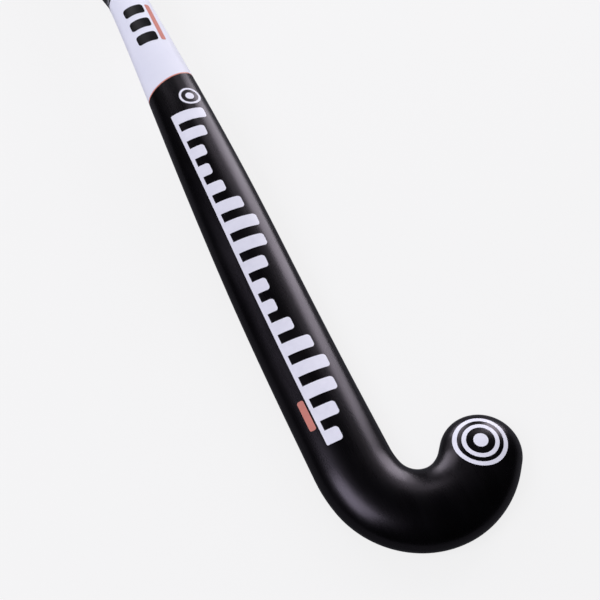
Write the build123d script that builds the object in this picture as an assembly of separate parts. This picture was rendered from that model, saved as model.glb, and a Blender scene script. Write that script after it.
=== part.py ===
"""Junior field hockey stick: hollow composite laminate, foam-filled hook, coats, transfers and wrapped grip.

The stick lies on its flat playing face. +Y runs up the shaft to the butt, +X points to the toe's side
and +Z comes out of the rounded back. The origin is on the playing face, on the shaft's centre line,
where the straight shaft meets the hook.
"""
from build123d import *
from math import asin, atan2, cos, degrees, hypot, pi, radians, sin, sqrt
import os

# Whole stick (mm, degrees)
STICK_LENGTH = 762.0      # heel to the butt's lower edge, a 30 in junior stick
HEAD_FLAT = 30.0          # straight, flat run of the shaft beside the hook

# Hook centre line: three tangent arcs and a short straight to the toe's middle
LEAD_RADIUS = 62.0
LEAD_TURN = 14.0
BEND_RADIUS = 34.3
BEND_TURN = 100.0
TOE_RADIUS = 40.0
TOE_TURN = 27.0
TOE_RUN = 5.0

# Bow of the shaft: an arc up from the face, an arc over the top, then the straight handle
BOW_IN_RADIUS = 900.0
BOW_RISE = 7.6
BOW_RADIUS = 1650.0

# Cross-section of the head: a flat face, rounded corners and an elliptical back
HEAD_HALF_WIDTH = 22.7
HEAD_THICKNESS = 22.0
CORNER_WIDTH = 8.0
CORNER_HEIGHT = 8.0

# Cross-section of the handle, nearly round
HANDLE_RADIUS = 13.5
HANDLE_FLAT = 1.0         # half length of the flat that is left under the handle
TAPER_TAIL = 8.0          # the taper ends this far under the grip
TAPER_LATENESS = 1.6

# Skins and walls
COAT = 0.35
LAMINATE = 2.2
TUBE_WALL = 1.2
WEB = 1.0
FACE_LINER = 1.5
HEEL_LINER = 1.2
TRANSFER = 0.12

# Places along the shaft, from the hook's start
COAT_SPLIT = 283.0        # black below, white above
COAT_SLANT = 14.0         # the split climbs towards the toe's side
PINSTRIPE = 0.9
BARE_LENGTH = 90.0        # white shaft between the coats' split and the finishing tape
COAT_TUCK = 14.0          # the white coat ends this far under the grip
CORE_END = 26.0           # the head's foam reaches this far up the shaft's flat run
HEEL_LINER_SET_OUT = 4.0  # the heel liner starts this far outside the bend's centre line

# Grip and butt
UNDER_GRIP_RADIUS = 14.3
GRIP_TAPE = 1.5
GRIP_RAMP = 13.0          # the grip's lower end tapers down to the shaft over this length
FINISHING_TAPE = 0.25
FINISHING_HOLD = 6.0      # the finishing tape covers this much of the full grip
FINISHING_LAP = 6.0       # and this much of the white coat below the ramp
LAP_STAND = 0.55          # its lap stands this far over the handle's radius
RAMP_OVERRUN = 3.0        # the ramp's cut runs this far past both its ends
CAP_THICKNESS = 4.5
CAP_ROUNDING = 1.5
SPIGOT_LENGTH = 12.0
SPIGOT_CLEARANCE = 0.1
PLUG_LENGTH = 45.0
DAMPER_LENGTH = 20.0

# Transfers on the back
BAR_COUNT = 17
BAR_WIDTH = 8.4
BAR_ROUNDING = 2.0
BARS_START = 12.0
BARS_END_GAP = 29.0       # from the last bar to the coats' split
BARS_SIDE = -9.5          # X of the spine that the bars stand on
BAR_SHORT = 9.0
BAR_LONG = 22.5
BAR_WAVES = 2.5           # how often the bars swell along the shaft
SPINE_WIDTH = 2.2
ACCENT_X = -13.4
ACCENT_Y = 33.0
ACCENT_WIDTH = 3.6
ACCENT_LENGTH = 19.0
TOE_MARK_X = 66.0
TOE_MARK_Y = -20.2
TOE_MARK_RADIUS = 14.8
TOE_RING_WIDTH = 2.3
TOE_RING_GAP = 2.4
TOE_DOT_RADIUS = 4.0
SHAFT_MARK_X = 6.5
SHAFT_MARK_DROP = 18.2    # below the coats' split
SHAFT_MARK_RADIUS = 7.0
SHAFT_RING_WIDTH = 1.5
SHAFT_DOT_RADIUS = 2.8
UPPER_BAR_COUNT = 3
UPPER_BAR_START = 39.0    # from the coats' split to the middle of the first bar
UPPER_BAR_PITCH = 14.0
UPPER_BAR_WIDTH = 8.6
UPPER_BAR_LENGTH = 14.0
UPPER_BAR_X = -2.0
UPPER_ACCENT_GAP = 1.8
UPPER_ACCENT_WIDTH = 3.0

# Mean spacing of the sections that the shaft is lofted through, and how they crowd towards the head
SHAFT_STEP = 34.0
SHAFT_CROWDING = 1.3

# Sizes that follow
GRIP_START = COAT_SPLIT + BARE_LENGTH + FINISHING_LAP + GRIP_RAMP
TAPER_END = GRIP_START + TAPER_TAIL
GRIP_RADIUS = UNDER_GRIP_RADIUS + GRIP_TAPE
GRIP_STAND = GRIP_RADIUS - HANDLE_RADIUS
HANDLE_CORNER = HANDLE_RADIUS - HANDLE_FLAT
BAR_PITCH = (COAT_SPLIT - BARS_START - BARS_END_GAP - BAR_WIDTH) / (BAR_COUNT - 1)
CAVITY = COAT + LAMINATE
TUBE_BORE = CAVITY + TUBE_WALL
BIG = 2.0 * STICK_LENGTH
HOOK_ARCS = [(LEAD_RADIUS, LEAD_TURN), (BEND_RADIUS, BEND_TURN), (TOE_RADIUS, TOE_TURN)]


def ease(t):
    """Smooth step from 0 to 1."""
    t = min(max(t, 0.0), 1.0)
    return t * t * (3.0 - 2.0 * t)


def heel_depth():
    """How far the heel reaches below the hook's start: to where the bend runs level."""
    lead, level = radians(LEAD_TURN), radians(90.0)
    drop = LEAD_RADIUS * sin(lead) + BEND_RADIUS * (sin(level) - sin(lead))
    return drop + HEAD_HALF_WIDTH


# The bow's side view: rise arc, top arc whose centre lies under the stick, straight handle
RISE = radians(BOW_RISE)
RISE_END = HEAD_FLAT + BOW_IN_RADIUS * RISE
TOP_Y = HEAD_FLAT + (BOW_IN_RADIUS + BOW_RADIUS) * sin(RISE)
TOP_Z = BOW_IN_RADIUS - (BOW_IN_RADIUS + BOW_RADIUS) * cos(RISE)
BUTT_Y = STICK_LENGTH - heel_depth()
# The grip's underside is tangent to the top arc and comes down to the floor at the butt
BUTT_REACH = hypot(BUTT_Y - TOP_Y, TOP_Z)
GRIP_ARC_RADIUS = BOW_RADIUS - GRIP_STAND
DESCENT = asin(GRIP_ARC_RADIUS / BUTT_REACH) - atan2(-TOP_Z, BUTT_Y - TOP_Y)
HANDLE_START = RISE_END + BOW_RADIUS * (RISE + DESCENT)
BUTT_END = HANDLE_START + sqrt(BUTT_REACH**2 - GRIP_ARC_RADIUS**2)
HANDLE_END = BUTT_END - CAP_THICKNESS


def shaft_point(s):
    """Underside point (y, z) and slope at distance s up the shaft."""
    if s <= HEAD_FLAT:
        return s, 0.0, 0.0
    if s <= RISE_END:
        slope = (s - HEAD_FLAT) / BOW_IN_RADIUS
        return HEAD_FLAT + BOW_IN_RADIUS * sin(slope), BOW_IN_RADIUS * (1.0 - cos(slope)), slope
    slope = max(RISE - (s - RISE_END) / BOW_RADIUS, -DESCENT)
    run = max(s - HANDLE_START, 0.0)
    y = TOP_Y - BOW_RADIUS * sin(slope) + run * cos(slope)
    z = TOP_Z + BOW_RADIUS * cos(slope) + run * sin(slope)
    return y, z, slope


def station(s, rise=0.0):
    """Plane across the shaft at s, looking to the hook: local x to the toe's side, local y to the back."""
    y, z, slope = shaft_point(s)
    origin = (0, y - rise * sin(slope), z + rise * cos(slope))
    return Plane(origin, x_dir=(1, 0, 0), z_dir=(0, -cos(slope), -sin(slope)))


def section_sizes(s):
    """Half width, corner width, height of the widest place and thickness at s."""
    along = min(max((s - HEAD_FLAT) / (TAPER_END - HEAD_FLAT), 0.0), 1.0)
    t = ease(along**TAPER_LATENESS)
    half_width = HEAD_HALF_WIDTH + (HANDLE_RADIUS - HEAD_HALF_WIDTH) * t
    corner = CORNER_WIDTH + (HANDLE_CORNER - CORNER_WIDTH) * t
    widest = CORNER_HEIGHT + (HANDLE_RADIUS - CORNER_HEIGHT) * t
    thickness = HEAD_THICKNESS + (2 * HANDLE_RADIUS - HEAD_THICKNESS) * t
    return half_width, corner, widest, thickness


def section_edges(s, inset):
    """Flat face, rounded corner, back and rounded corner of the section at s, drawn in by inset."""
    half_width, corner, widest, thickness = section_sizes(s)
    flat = half_width - corner
    side = half_width - inset
    corner_x, corner_y = side - flat, widest - inset
    return [
        Line((-flat, inset), (flat, inset)),
        EllipticalCenterArc((flat, widest), corner_x, corner_y, 270, arc_size=90),
        EllipticalCenterArc((0, widest), side, thickness - inset - widest, 0, arc_size=180),
        EllipticalCenterArc((-flat, widest), corner_x, corner_y, 180, arc_size=90),
    ]


def turned(plane, centre, angle):
    """The plane after a turn about the vertical through centre."""
    turn = Pos(*centre) * Rot(0, 0, angle) * Pos(*(-centre))
    return Plane(turn * plane.location)


def hook_arcs():
    """Each arc of the hook, as the plane across its start, its centre and its turn, and the toe's plane."""
    plane = station(0)
    arcs = []
    for radius, turn in HOOK_ARCS:
        centre = plane.origin + plane.x_dir * radius
        arcs.append((plane, centre, turn))
        plane = turned(plane, centre, turn)
    return arcs, plane


def head_form(inset):
    """Hook and toe: the head's section turned through the hook's arcs, and half of it round the toe."""
    head = make_face(section_edges(0, inset))
    arcs, plane = hook_arcs()
    pieces = [revolve(start * head, Axis(centre, (0, 0, 1)), turn) for start, centre, turn in arcs]
    pieces.append(extrude(plane * head, TOE_RUN))
    plane = Plane(plane.origin + plane.z_dir * TOE_RUN, plane.x_dir, plane.z_dir)
    half_head = head & (Pos(BIG / 2, 0) * Rectangle(BIG, BIG))
    pieces.append(revolve(plane * half_head, Axis(plane.origin, (0, 0, 1)), -180))
    return pieces[0].fuse(*pieces[1:])


def flat_run(inset, length):
    """Straight run of the head's section beside the hook."""
    head = make_face(section_edges(0, inset))
    return extrude(station(length) * head, length)


def shaft_form(inset):
    """Flat run beside the hook, bowed and tapering shaft, straight handle."""
    bowed_length = HANDLE_START - HEAD_FLAT
    steps = round(bowed_length / SHAFT_STEP)
    shares = [(i / steps) ** SHAFT_CROWDING for i in range(steps + 1)]
    stations = [HEAD_FLAT + bowed_length * share for share in shares]
    bowed = Solid.make_loft([station(s) * Wire(section_edges(s, inset)) for s in stations])
    handle = make_face(section_edges(HANDLE_START, inset))
    straight = extrude(station(HANDLE_END) * handle, HANDLE_END - HANDLE_START)
    return flat_run(inset, HEAD_FLAT).fuse(bowed, straight)


def beyond(s, slant=0.0):
    """Everything on the butt's side of s, cut square or on a slant that climbs to the toe's side."""
    return station(s) * Rot(0, slant, 0) * Pos(0, 0, -BIG / 2) * Box(BIG, BIG, BIG)


def below(height):
    """Everything under a height above the floor."""
    return Pos(0, 0, height - BIG / 2) * Box(2 * BIG, 2 * BIG, BIG)


def toe_side_of(x):
    """Everything on the toe's side of x."""
    return Pos(x + BIG, 0, 0) * Box(2 * BIG, 2 * BIG, BIG)


def round_tube(radius, start, end):
    """Solid round bar on the handle's axis, round the bow's top arc and down the straight handle."""
    first = station(start, HANDLE_RADIUS) * Circle(radius)
    arc_end = min(end, HANDLE_START)
    arc_turn = degrees((arc_end - start) / BOW_RADIUS)
    bar = revolve(first, Axis((0, TOP_Y, TOP_Z), (-1, 0, 0)), arc_turn)
    if end > HANDLE_START:
        bar += extrude(station(end, HANDLE_RADIUS) * Circle(radius), end - HANDLE_START)
    return bar


def back_plane(start, end):
    """Plane under the stick from one shaft station to another: local y runs up the shaft."""
    (y0, z0, _), (y1, z1, _) = shaft_point(start), shaft_point(end)
    lean = atan2(z1 - z0, y1 - y0)
    return Plane((0, y0, z0), x_dir=(1, 0, 0), z_dir=(0, -sin(lean), cos(lean)))


def rounded_bar(x, y, width, length, rounding):
    return Pos(x, y) * RectangleRounded(width, length, rounding)


def back_bars():
    """Row of bars that swell and shrink along the shaft, all standing on one spine."""
    row_length = BAR_PITCH * (BAR_COUNT - 1) + BAR_WIDTH
    spine_y = BARS_START + row_length / 2
    shape = rounded_bar(BARS_SIDE, spine_y, SPINE_WIDTH, row_length, SPINE_WIDTH / 3)
    for i in range(BAR_COUNT):
        swell = 0.5 - 0.5 * cos(2 * pi * BAR_WAVES * (i + 0.5) / BAR_COUNT)
        length = BAR_SHORT + (BAR_LONG - BAR_SHORT) * swell
        y = BARS_START + BAR_WIDTH / 2 + BAR_PITCH * i
        left = BARS_SIDE - SPINE_WIDTH / 2
        shape += rounded_bar(left + length / 2, y, length, BAR_WIDTH, BAR_ROUNDING)
    return shape


def ring(x, y, radius, width):
    return Pos(x, y) * (Circle(radius) - Circle(radius - width))


def coats(outer, laminate):
    """Black coat on the head and lower shaft, pinstripe, and the white coat up to the grip."""
    coat = outer - laminate
    over_split = beyond(COAT_SPLIT, COAT_SLANT)
    over_stripe = beyond(COAT_SPLIT + PINSTRIPE, COAT_SLANT)
    return {
        "lower_coat": coat - over_split,
        "pinstripe": (coat & over_split) - over_stripe,
        "upper_coat": (coat & over_stripe) - beyond(GRIP_START + COAT_TUCK),
    }


def head_filling():
    """Foam in the hook, a liner behind the face and a patch round the heel."""
    liner_top = CAVITY + FACE_LINER
    head_cavity = head_form(CAVITY).fuse(flat_run(CAVITY, CORE_END))
    wall = make_face(section_edges(0, CAVITY)) - make_face(section_edges(0, CAVITY + HEEL_LINER))
    heel_side = Pos(-BIG / 2 - HEEL_LINER_SET_OUT, BIG / 2 + liner_top) * Rectangle(BIG, BIG)
    bend_start, bend_centre, bend_turn = hook_arcs()[0][1]
    heel_liner = revolve(bend_start * (wall & heel_side), Axis(bend_centre, (0, 0, 1)), bend_turn)
    return {
        "head_core": head_cavity - below(liner_top) - heel_liner,
        "face_liner": head_cavity & below(liner_top),
        "heel_liner": heel_liner,
    }


def inner_tubes(shaft_cavity, shaft_bore):
    """Twin tubes side by side along the shaft, with a web between them."""
    tubes_end = HANDLE_END - SPIGOT_LENGTH - PLUG_LENGTH - DAMPER_LENGTH
    room = (shaft_cavity & beyond(CORE_END)) - beyond(tubes_end)
    toe_side = room & toe_side_of(WEB / 2)
    toe_bore = shaft_bore & toe_side_of(WEB / 2 + TUBE_WALL)
    heel_side = room - toe_side_of(-WEB / 2)
    heel_bore = shaft_bore - toe_side_of(-WEB / 2 - TUBE_WALL)
    return {
        "toe_side_tube": toe_side - toe_bore,
        "heel_side_tube": heel_side - heel_bore,
        "centre_web": (room & toe_side_of(-WEB / 2)) - toe_side_of(WEB / 2),
    }


def butt_pieces(shaft_cavity):
    """Damper and plug inside the handle's end, and the cap that closes it."""
    plug_end = HANDLE_END - SPIGOT_LENGTH
    plug_start = plug_end - PLUG_LENGTH
    damper_start = plug_start - DAMPER_LENGTH
    spigot_radius = HANDLE_RADIUS - CAVITY - SPIGOT_CLEARANCE
    flange = Pos(0, 0, CAP_THICKNESS / 2) * Cylinder(GRIP_RADIUS, CAP_THICKNESS)
    flange = fillet(flange.edges().sort_by(Axis.Z)[0], CAP_ROUNDING)
    spigot = Pos(0, 0, CAP_THICKNESS + SPIGOT_LENGTH / 2) * Cylinder(spigot_radius, SPIGOT_LENGTH)
    return {
        "damper": (shaft_cavity & beyond(damper_start)) - beyond(plug_start),
        "handle_plug": (shaft_cavity & beyond(plug_start)) - beyond(plug_end),
        "butt_cap": station(BUTT_END, HANDLE_RADIUS) * (flange + spigot),
    }


def turned_waste(*rings):
    """Waste outside a turned profile of (radius, distance below the full grip) pairs."""
    rim = 2.0 * GRIP_RADIUS
    profile = Polyline((rim, rings[0][1]), *rings, (rim, rings[-1][1]), close=True)
    return station(GRIP_START, HANDLE_RADIUS) * revolve(Plane.XZ * make_face(profile), Axis.Z)


def grip_pieces(outer, laminate, upper_coat):
    """Cushion under the grip, grip tape with its tapered end, and the finishing tape over that end."""
    tape_radius = GRIP_RADIUS + FINISHING_TAPE
    lap_radius = HANDLE_RADIUS + LAP_STAND
    foot_radius = lap_radius - FINISHING_TAPE
    ramp_start = GRIP_START - GRIP_RAMP
    overrun = (GRIP_RADIUS - foot_radius) * RAMP_OVERRUN / GRIP_RAMP
    ramp_waste = turned_waste(
        (GRIP_RADIUS + overrun, -RAMP_OVERRUN), (foot_radius - overrun, GRIP_RAMP + RAMP_OVERRUN)
    )
    lap_waste = turned_waste(
        (tape_radius + overrun, -RAMP_OVERRUN),
        (lap_radius, GRIP_RAMP),
        (lap_radius, GRIP_RAMP + FINISHING_LAP + RAMP_OVERRUN),
    )
    under_bar = round_tube(UNDER_GRIP_RADIUS, GRIP_START, HANDLE_END)
    grip_bar = round_tube(GRIP_RADIUS, ramp_start, HANDLE_END) - ramp_waste
    tape_bar = round_tube(tape_radius, ramp_start - FINISHING_LAP, GRIP_START + FINISHING_HOLD)
    tape_bar -= lap_waste
    return {
        "under_grip": under_bar - laminate - upper_coat,
        "grip_tape": grip_bar - under_bar - outer,
        "finishing_tape": tape_bar - grip_bar - outer,
    }


def transfer_nodes(grown, outer, marks):
    """Thin film over the stick's outer form under each flat mark on its back."""
    nodes = {}
    for name, (plane, shape) in marks.items():
        prism = extrude(plane * Pos(0, 0, CORNER_HEIGHT) * shape, BIG / 10)
        nodes[name] = (prism & grown) - outer
    return nodes


def toe_transfers(outer_head):
    """Ring mark on the toe."""
    centre = (TOE_MARK_X, TOE_MARK_Y)
    inner_radius = TOE_MARK_RADIUS - TOE_RING_WIDTH - TOE_RING_GAP
    marks = {
        "toe_outer_ring": (Plane.XY, ring(*centre, TOE_MARK_RADIUS, TOE_RING_WIDTH)),
        "toe_inner_ring": (Plane.XY, ring(*centre, inner_radius, TOE_RING_WIDTH)),
        "toe_dot": (Plane.XY, Pos(*centre) * Circle(TOE_DOT_RADIUS)),
    }
    return transfer_nodes(head_form(-TRANSFER), outer_head, marks)


def shaft_transfers(outer_shaft):
    """Bars, an accent and a small ring mark on the black coat, bars and an accent on the white."""
    lower = back_plane(0, COAT_SPLIT)
    upper = back_plane(COAT_SPLIT, GRIP_START)
    centre = (SHAFT_MARK_X, COAT_SPLIT - SHAFT_MARK_DROP)
    accent = rounded_bar(ACCENT_X, ACCENT_Y, ACCENT_WIDTH, ACCENT_LENGTH, ACCENT_WIDTH / 3)
    marks = {
        "back_bars": (lower, back_bars()),
        "accent_bar": (lower, accent),
        "shaft_ring": (lower, ring(*centre, SHAFT_MARK_RADIUS, SHAFT_RING_WIDTH)),
        "shaft_dot": (lower, Pos(*centre) * Circle(SHAFT_DOT_RADIUS)),
    }
    for i in range(UPPER_BAR_COUNT):
        y = UPPER_BAR_START + UPPER_BAR_PITCH * i
        bar = rounded_bar(UPPER_BAR_X, y, UPPER_BAR_LENGTH, UPPER_BAR_WIDTH, BAR_ROUNDING)
        marks[f"upper_bar_{i + 1}"] = (upper, bar)
    row_length = UPPER_BAR_PITCH * (UPPER_BAR_COUNT - 1) + UPPER_BAR_WIDTH
    x = UPPER_BAR_X + UPPER_BAR_LENGTH / 2 + UPPER_ACCENT_GAP + UPPER_ACCENT_WIDTH / 2
    y = UPPER_BAR_START + UPPER_BAR_PITCH * (UPPER_BAR_COUNT - 1) / 2
    upper_accent = rounded_bar(x, y, UPPER_ACCENT_WIDTH, row_length, UPPER_ACCENT_WIDTH / 3)
    marks["upper_accent"] = (upper, upper_accent)
    return transfer_nodes(shaft_form(-TRANSFER), outer_shaft, marks)


def main():
    outer_head, outer_shaft = head_form(0), shaft_form(0)
    outer = outer_head.fuse(outer_shaft)
    laminate_shaft = shaft_form(COAT)
    laminate = head_form(COAT).fuse(laminate_shaft)
    shaft_cavity = shaft_form(CAVITY)
    cavity = head_form(CAVITY).fuse(shaft_cavity)
    nodes = coats(outer, laminate)
    nodes["laminate"] = laminate - cavity
    nodes |= head_filling()
    nodes |= inner_tubes(shaft_cavity, shaft_form(TUBE_BORE))
    nodes |= butt_pieces(shaft_cavity)
    nodes |= grip_pieces(outer_shaft, laminate_shaft, nodes["upper_coat"])
    nodes |= toe_transfers(outer_head)
    nodes |= shaft_transfers(outer_shaft)
    os.makedirs("parts", exist_ok=True)
    for name, shape in nodes.items():
        solids = shape.solids()
        if len(solids) != 1:
            raise ValueError(f"{name} has {len(solids)} solids")
        export_step(solids[0], f"parts/{name}.step")
        print(f"{name}: {solids[0].volume:.1f} mm3")


main()
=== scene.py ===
"""Junior field hockey stick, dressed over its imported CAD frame.

The stick lies on its flat playing face. +Y runs up the shaft to the butt, +X points to the toe's side and +Z
comes out of the rounded back, as in the frame. Lengths are in metres and angles in degrees.
"""
import logging
from collections.abc import Callable
from dataclasses import dataclass, field
from enum import Enum
from functools import cached_property
from math import asin, atan2, ceil, cos, hypot, pi, radians, sin, sqrt, tan

import bmesh
import bpy
from mathutils import Matrix, Quaternion, Vector
from mathutils.bvhtree import BVHTree


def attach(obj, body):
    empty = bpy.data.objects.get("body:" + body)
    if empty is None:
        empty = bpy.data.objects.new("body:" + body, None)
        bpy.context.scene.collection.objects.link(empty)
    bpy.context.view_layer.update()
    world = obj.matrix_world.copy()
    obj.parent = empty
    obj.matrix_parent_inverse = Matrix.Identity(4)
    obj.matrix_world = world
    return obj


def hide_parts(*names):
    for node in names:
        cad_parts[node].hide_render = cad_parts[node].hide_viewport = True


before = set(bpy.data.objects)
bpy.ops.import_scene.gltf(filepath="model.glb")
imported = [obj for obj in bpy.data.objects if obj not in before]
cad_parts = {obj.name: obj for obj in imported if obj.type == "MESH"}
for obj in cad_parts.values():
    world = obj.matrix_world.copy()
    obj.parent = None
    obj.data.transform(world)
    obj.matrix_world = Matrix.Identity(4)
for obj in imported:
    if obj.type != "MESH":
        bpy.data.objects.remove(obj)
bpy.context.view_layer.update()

logging.basicConfig(level=logging.INFO, format="%(message)s")
log = logging.getLogger("stick")

MM = 0.001
SHARP_ANGLE = radians(38.0)
FULL_TURN = 2.0 * pi
MERGE = 0.001 * MM
UP = Vector((0.0, 0.0, 1.0))
ORIGIN = Vector((0.0, 0.0, 0.0))
AROUND = "around"      # vertex layer: place of a vertex round the section
ALONG = "along"        # vertex layer: metres along a wound tape
ACROSS = "across"      # vertex layer: metres across a wound tape

Colour = tuple[float, float, float]
Mesh = bmesh.types.BMesh
Material = bpy.types.Material
Piece = bpy.types.Object


class Slot(Enum):
    """Material slots of the record."""

    BLACK_COAT = "black_coat"
    ACCENT = "accent"
    WHITE_COAT = "white_coat"
    CAP_RUBBER = "cap_rubber"
    GRIP_TAPE = "grip_tape"
    FINISHING_TAPE = "finishing_tape"
    WHITE_MARK = "white_mark"
    ACCENT_MARK = "accent_mark"
    BLACK_MARK = "black_mark"


class Weave(Enum):
    """How a cloth's yarns run against the stick."""

    STRAIGHT = 0.0
    BIAS = 45.0


# ---------------- form of the stick


@dataclass(frozen=True)
class StickForm:
    """Outside form of the stick: the sizes of the CAD source, in metres and degrees."""

    length: float = 762.0 * MM
    head_flat: float = 30.0 * MM
    hook_arcs: tuple = ((62.0 * MM, 14.0), (34.3 * MM, 100.0), (40.0 * MM, 27.0))
    toe_run: float = 5.0 * MM
    bow_in_radius: float = 900.0 * MM
    bow_rise: float = 7.6
    bow_radius: float = 1650.0 * MM
    head_half_width: float = 22.7 * MM
    head_thickness: float = 22.0 * MM
    corner_width: float = 8.0 * MM
    corner_height: float = 8.0 * MM
    handle_radius: float = 13.5 * MM
    handle_flat: float = 1.0 * MM
    taper_end: float = 400.0 * MM
    taper_lateness: float = 1.6
    grip_radius: float = 15.8 * MM
    coat_split: float = 283.0 * MM
    coat_slant: float = 14.0
    slant_fade: float = 70.0 * MM
    grip_start: float = 392.0 * MM
    grip_ramp: float = 13.0 * MM
    ramp_foot: float = 13.8 * MM
    cap_thickness: float = 4.5 * MM
    flat_steps: int = 4
    corner_steps: int = 10
    back_steps: int = 40

    @property
    def ring_count(self) -> int:
        """Vertices round one section."""
        return 2 * (self.flat_steps + self.corner_steps) + self.back_steps

    @property
    def heel_depth(self) -> float:
        """How far the heel reaches below the hook's start."""
        (lead_radius, lead_turn), (bend_radius, _), _ = self.hook_arcs
        lead = radians(lead_turn)
        return lead_radius * sin(lead) + bend_radius * (1.0 - sin(lead)) + self.head_half_width

    @property
    def rise(self) -> float:
        """Slope at the end of the bow's rise, in radians."""
        return radians(self.bow_rise)

    @property
    def rise_end(self) -> float:
        """Place along the shaft where the rise meets the top arc."""
        return self.head_flat + self.bow_in_radius * self.rise

    @property
    def top_centre(self) -> tuple[float, float]:
        """Centre (y, z) of the top arc, under the stick."""
        reach = self.bow_in_radius + self.bow_radius
        return self.head_flat + reach * sin(self.rise), self.bow_in_radius - reach * cos(self.rise)

    @property
    def butt_run(self) -> tuple[float, float, float]:
        """From the top arc's centre: the butt's y and z distances and the arc's radius under the grip."""
        y, z = self.top_centre
        return self.length - self.heel_depth - y, -z, self.bow_radius - self.grip_radius + self.handle_radius

    @property
    def descent(self) -> float:
        """Slope of the straight handle below level, in radians."""
        run, depth, grip_arc = self.butt_run
        return asin(grip_arc / hypot(run, depth)) - atan2(depth, run)

    @property
    def handle_start(self) -> float:
        """Place along the shaft where the straight handle begins."""
        return self.rise_end + self.bow_radius * (self.rise + self.descent)

    @property
    def butt_end(self) -> float:
        """Place along the shaft of the butt's end."""
        run, depth, grip_arc = self.butt_run
        return self.handle_start + sqrt(run**2 + depth**2 - grip_arc**2)

    @property
    def handle_end(self) -> float:
        """Place along the shaft where the cap begins."""
        return self.butt_end - self.cap_thickness

    @property
    def ramp_start(self) -> float:
        """Place along the shaft where the grip's ramp begins."""
        return self.grip_start - self.grip_ramp

    def grip_radius_at(self, s: float) -> float:
        """Grip's radius at s: full up the handle, tapering to the shaft on the ramp at its lower end."""
        down = max(self.grip_start - s, 0.0) / self.grip_ramp
        return self.grip_radius - (self.grip_radius - self.ramp_foot) * down

    def underside(self, s: float) -> tuple[float, float, float]:
        """Underside's y, z and slope in radians, at the distance s up the shaft from the hook's start."""
        if s <= self.head_flat:
            return s, 0.0, 0.0
        if s <= self.rise_end:
            slope = (s - self.head_flat) / self.bow_in_radius
            y = self.head_flat + self.bow_in_radius * sin(slope)
            return y, self.bow_in_radius * (1.0 - cos(slope)), slope
        slope = max(self.rise - (s - self.rise_end) / self.bow_radius, -self.descent)
        run = max(s - self.handle_start, 0.0)
        y, z = self.top_centre
        y += run * cos(slope) - self.bow_radius * sin(slope)
        return y, z + self.bow_radius * cos(slope) + run * sin(slope), slope

    def place(self, s: float, x: float, height: float) -> Vector:
        """Point at s up the shaft, x towards the toe's side, and a height square to the underside line."""
        y, z, slope = self.underside(s)
        return Vector((x, y - height * sin(slope), z + height * cos(slope)))

    def sizes(self, s: float) -> tuple[float, float, float, float]:
        """Half width, corner width, height of the widest place and thickness at s."""
        along = min(max((s - self.head_flat) / (self.taper_end - self.head_flat), 0.0), 1.0)
        t = along**self.taper_lateness
        t = t * t * (3.0 - 2.0 * t)
        radius = self.handle_radius
        head = (self.head_half_width, self.corner_width, self.corner_height, self.head_thickness)
        handle = (radius, radius - self.handle_flat, radius, 2.0 * radius)
        return tuple(low + (high - low) * t for low, high in zip(head, handle))

    def skin_point(self, s: float, around: float) -> Vector:
        """Point on the stick's skin, on a ring that leans more the nearer it is to the coats' split."""
        lean = tan(radians(self.coat_slant)) * max(0.0, 1.0 - abs(s - self.coat_split) / self.slant_fade)
        x, _ = self.outline(s, around)
        shifted = s + lean * x
        return self.place(shifted, *self.outline(shifted, around))

    def outline(self, s: float, around: float) -> tuple[float, float]:
        """Point on the section's outline.

        Args:
            s: distance up the shaft.
            around: place round the section, from 0 at the middle of the face to the ring count.

        Returns:
            x and height over the underside line.
        """
        half_width, corner, widest, thickness = self.sizes(s)
        flat = half_width - corner
        half = self.ring_count / 2.0
        side = 1.0 if around <= half else -1.0
        k = around if around <= half else self.ring_count - around
        if k <= self.flat_steps:
            return side * flat * k / self.flat_steps, 0.0
        k -= self.flat_steps
        if k <= self.corner_steps:
            turn = radians(90.0 * k / self.corner_steps - 90.0)
            return side * (flat + corner * cos(turn)), widest * (1.0 + sin(turn))
        turn = pi * (k - self.corner_steps) / self.back_steps
        return side * half_width * cos(turn), widest + (thickness - widest) * sin(turn)


FORM = StickForm()


# ---------------- mesh helpers


def edges_of(geometry: list) -> list:
    """Edges among mixed geometry."""
    return [g for g in geometry if isinstance(g, bmesh.types.BMEdge)]


def extrude(mesh: Mesh, edges: list) -> tuple[list, list]:
    """Extrude edges, and return the new edges that lie across the old ones, and their vertices."""
    made = bmesh.ops.extrude_edge_only(mesh, edges=edges)["geom"]
    vertices = [g for g in made if isinstance(g, bmesh.types.BMVert)]
    known = set(vertices)
    return [e for e in edges_of(made) if known.issuperset(e.verts)], vertices


def spin(mesh: Mesh, edges: list, centre: Vector, angle: float, steps: int, rise: float = 0.0) -> list:
    """Spin edges about a vertical axis.

    Args:
        mesh: bmesh that holds the edges.
        edges: what is spun. A full turn without a rise closes on itself.
        centre: a point on the axis.
        angle: turn in radians.
        steps: how many faces one edge leaves.
        rise: climb of one step.

    Returns:
        The last edges.
    """
    made = bmesh.ops.spin(
        mesh, geom=edges, cent=centre, axis=UP, dvec=UP * rise, angle=angle, steps=steps,
        use_merge=angle == FULL_TURN and rise == 0.0, use_duplicate=False,
    )
    return edges_of(made["geom_last"])


def start_ring(mesh: Mesh, s: float, skin: Callable = FORM.skin_point) -> list:
    """Edges of a first section ring at s, with each vertex's place round the section kept in a layer."""
    around = mesh.verts.layers.float.new(AROUND)
    made = bmesh.ops.create_circle(mesh, cap_ends=False, radius=1.0, segments=FORM.ring_count)
    for index, vertex in enumerate(made["verts"]):
        vertex[around] = float(index)
        vertex.co = skin(s, index)
    return list(mesh.edges)


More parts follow.
